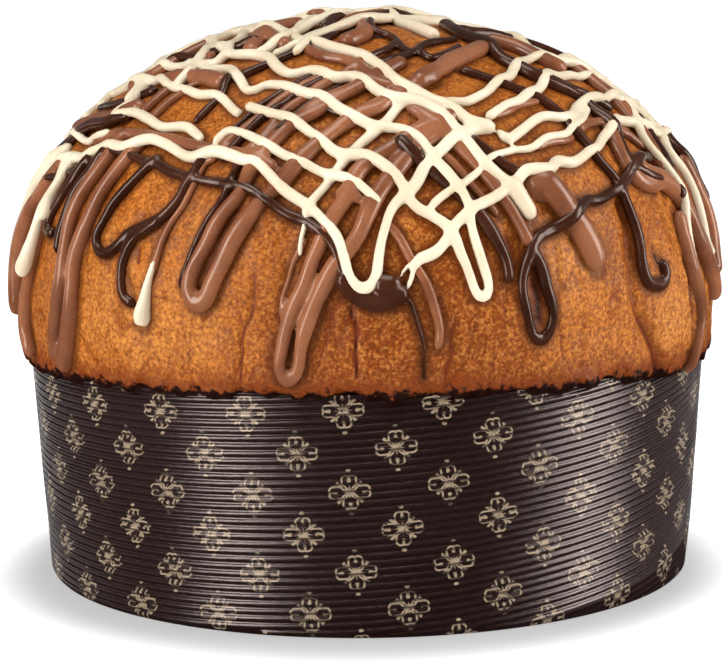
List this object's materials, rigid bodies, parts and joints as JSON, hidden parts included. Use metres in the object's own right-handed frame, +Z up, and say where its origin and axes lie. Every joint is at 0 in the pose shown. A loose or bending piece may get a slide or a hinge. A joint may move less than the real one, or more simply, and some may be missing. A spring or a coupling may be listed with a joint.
{
  "type": "panettone",
  "caption": "Tall domed sweet bread in a tapered fluted paper case, its crust crossed by a drizzle of white, milk and dark chocolate.",
  "frame": {"origin": "centre of the flat underside of the paper case", "axes": "+Z up along the axis of the case, -Y to the front"},
  "size_m": [0.2146, 0.2168, 0.1691],
  "materials": {
    "paper_brown": "dark brown fluted paper with a satin sheen",
    "gold_print": "pale gold ink in fine lines",
    "crust": "baked golden brown crust, matt with a faint gloss",
    "chocolate_white": "set white chocolate, satin",
    "chocolate_milk": "set milk chocolate, satin gloss",
    "chocolate_dark": "set dark chocolate, glossy"
  },
  "bodies": {
    "root": {"paper_case": "paper_brown", "bread": "crust"}
  },
  "joints": []
}
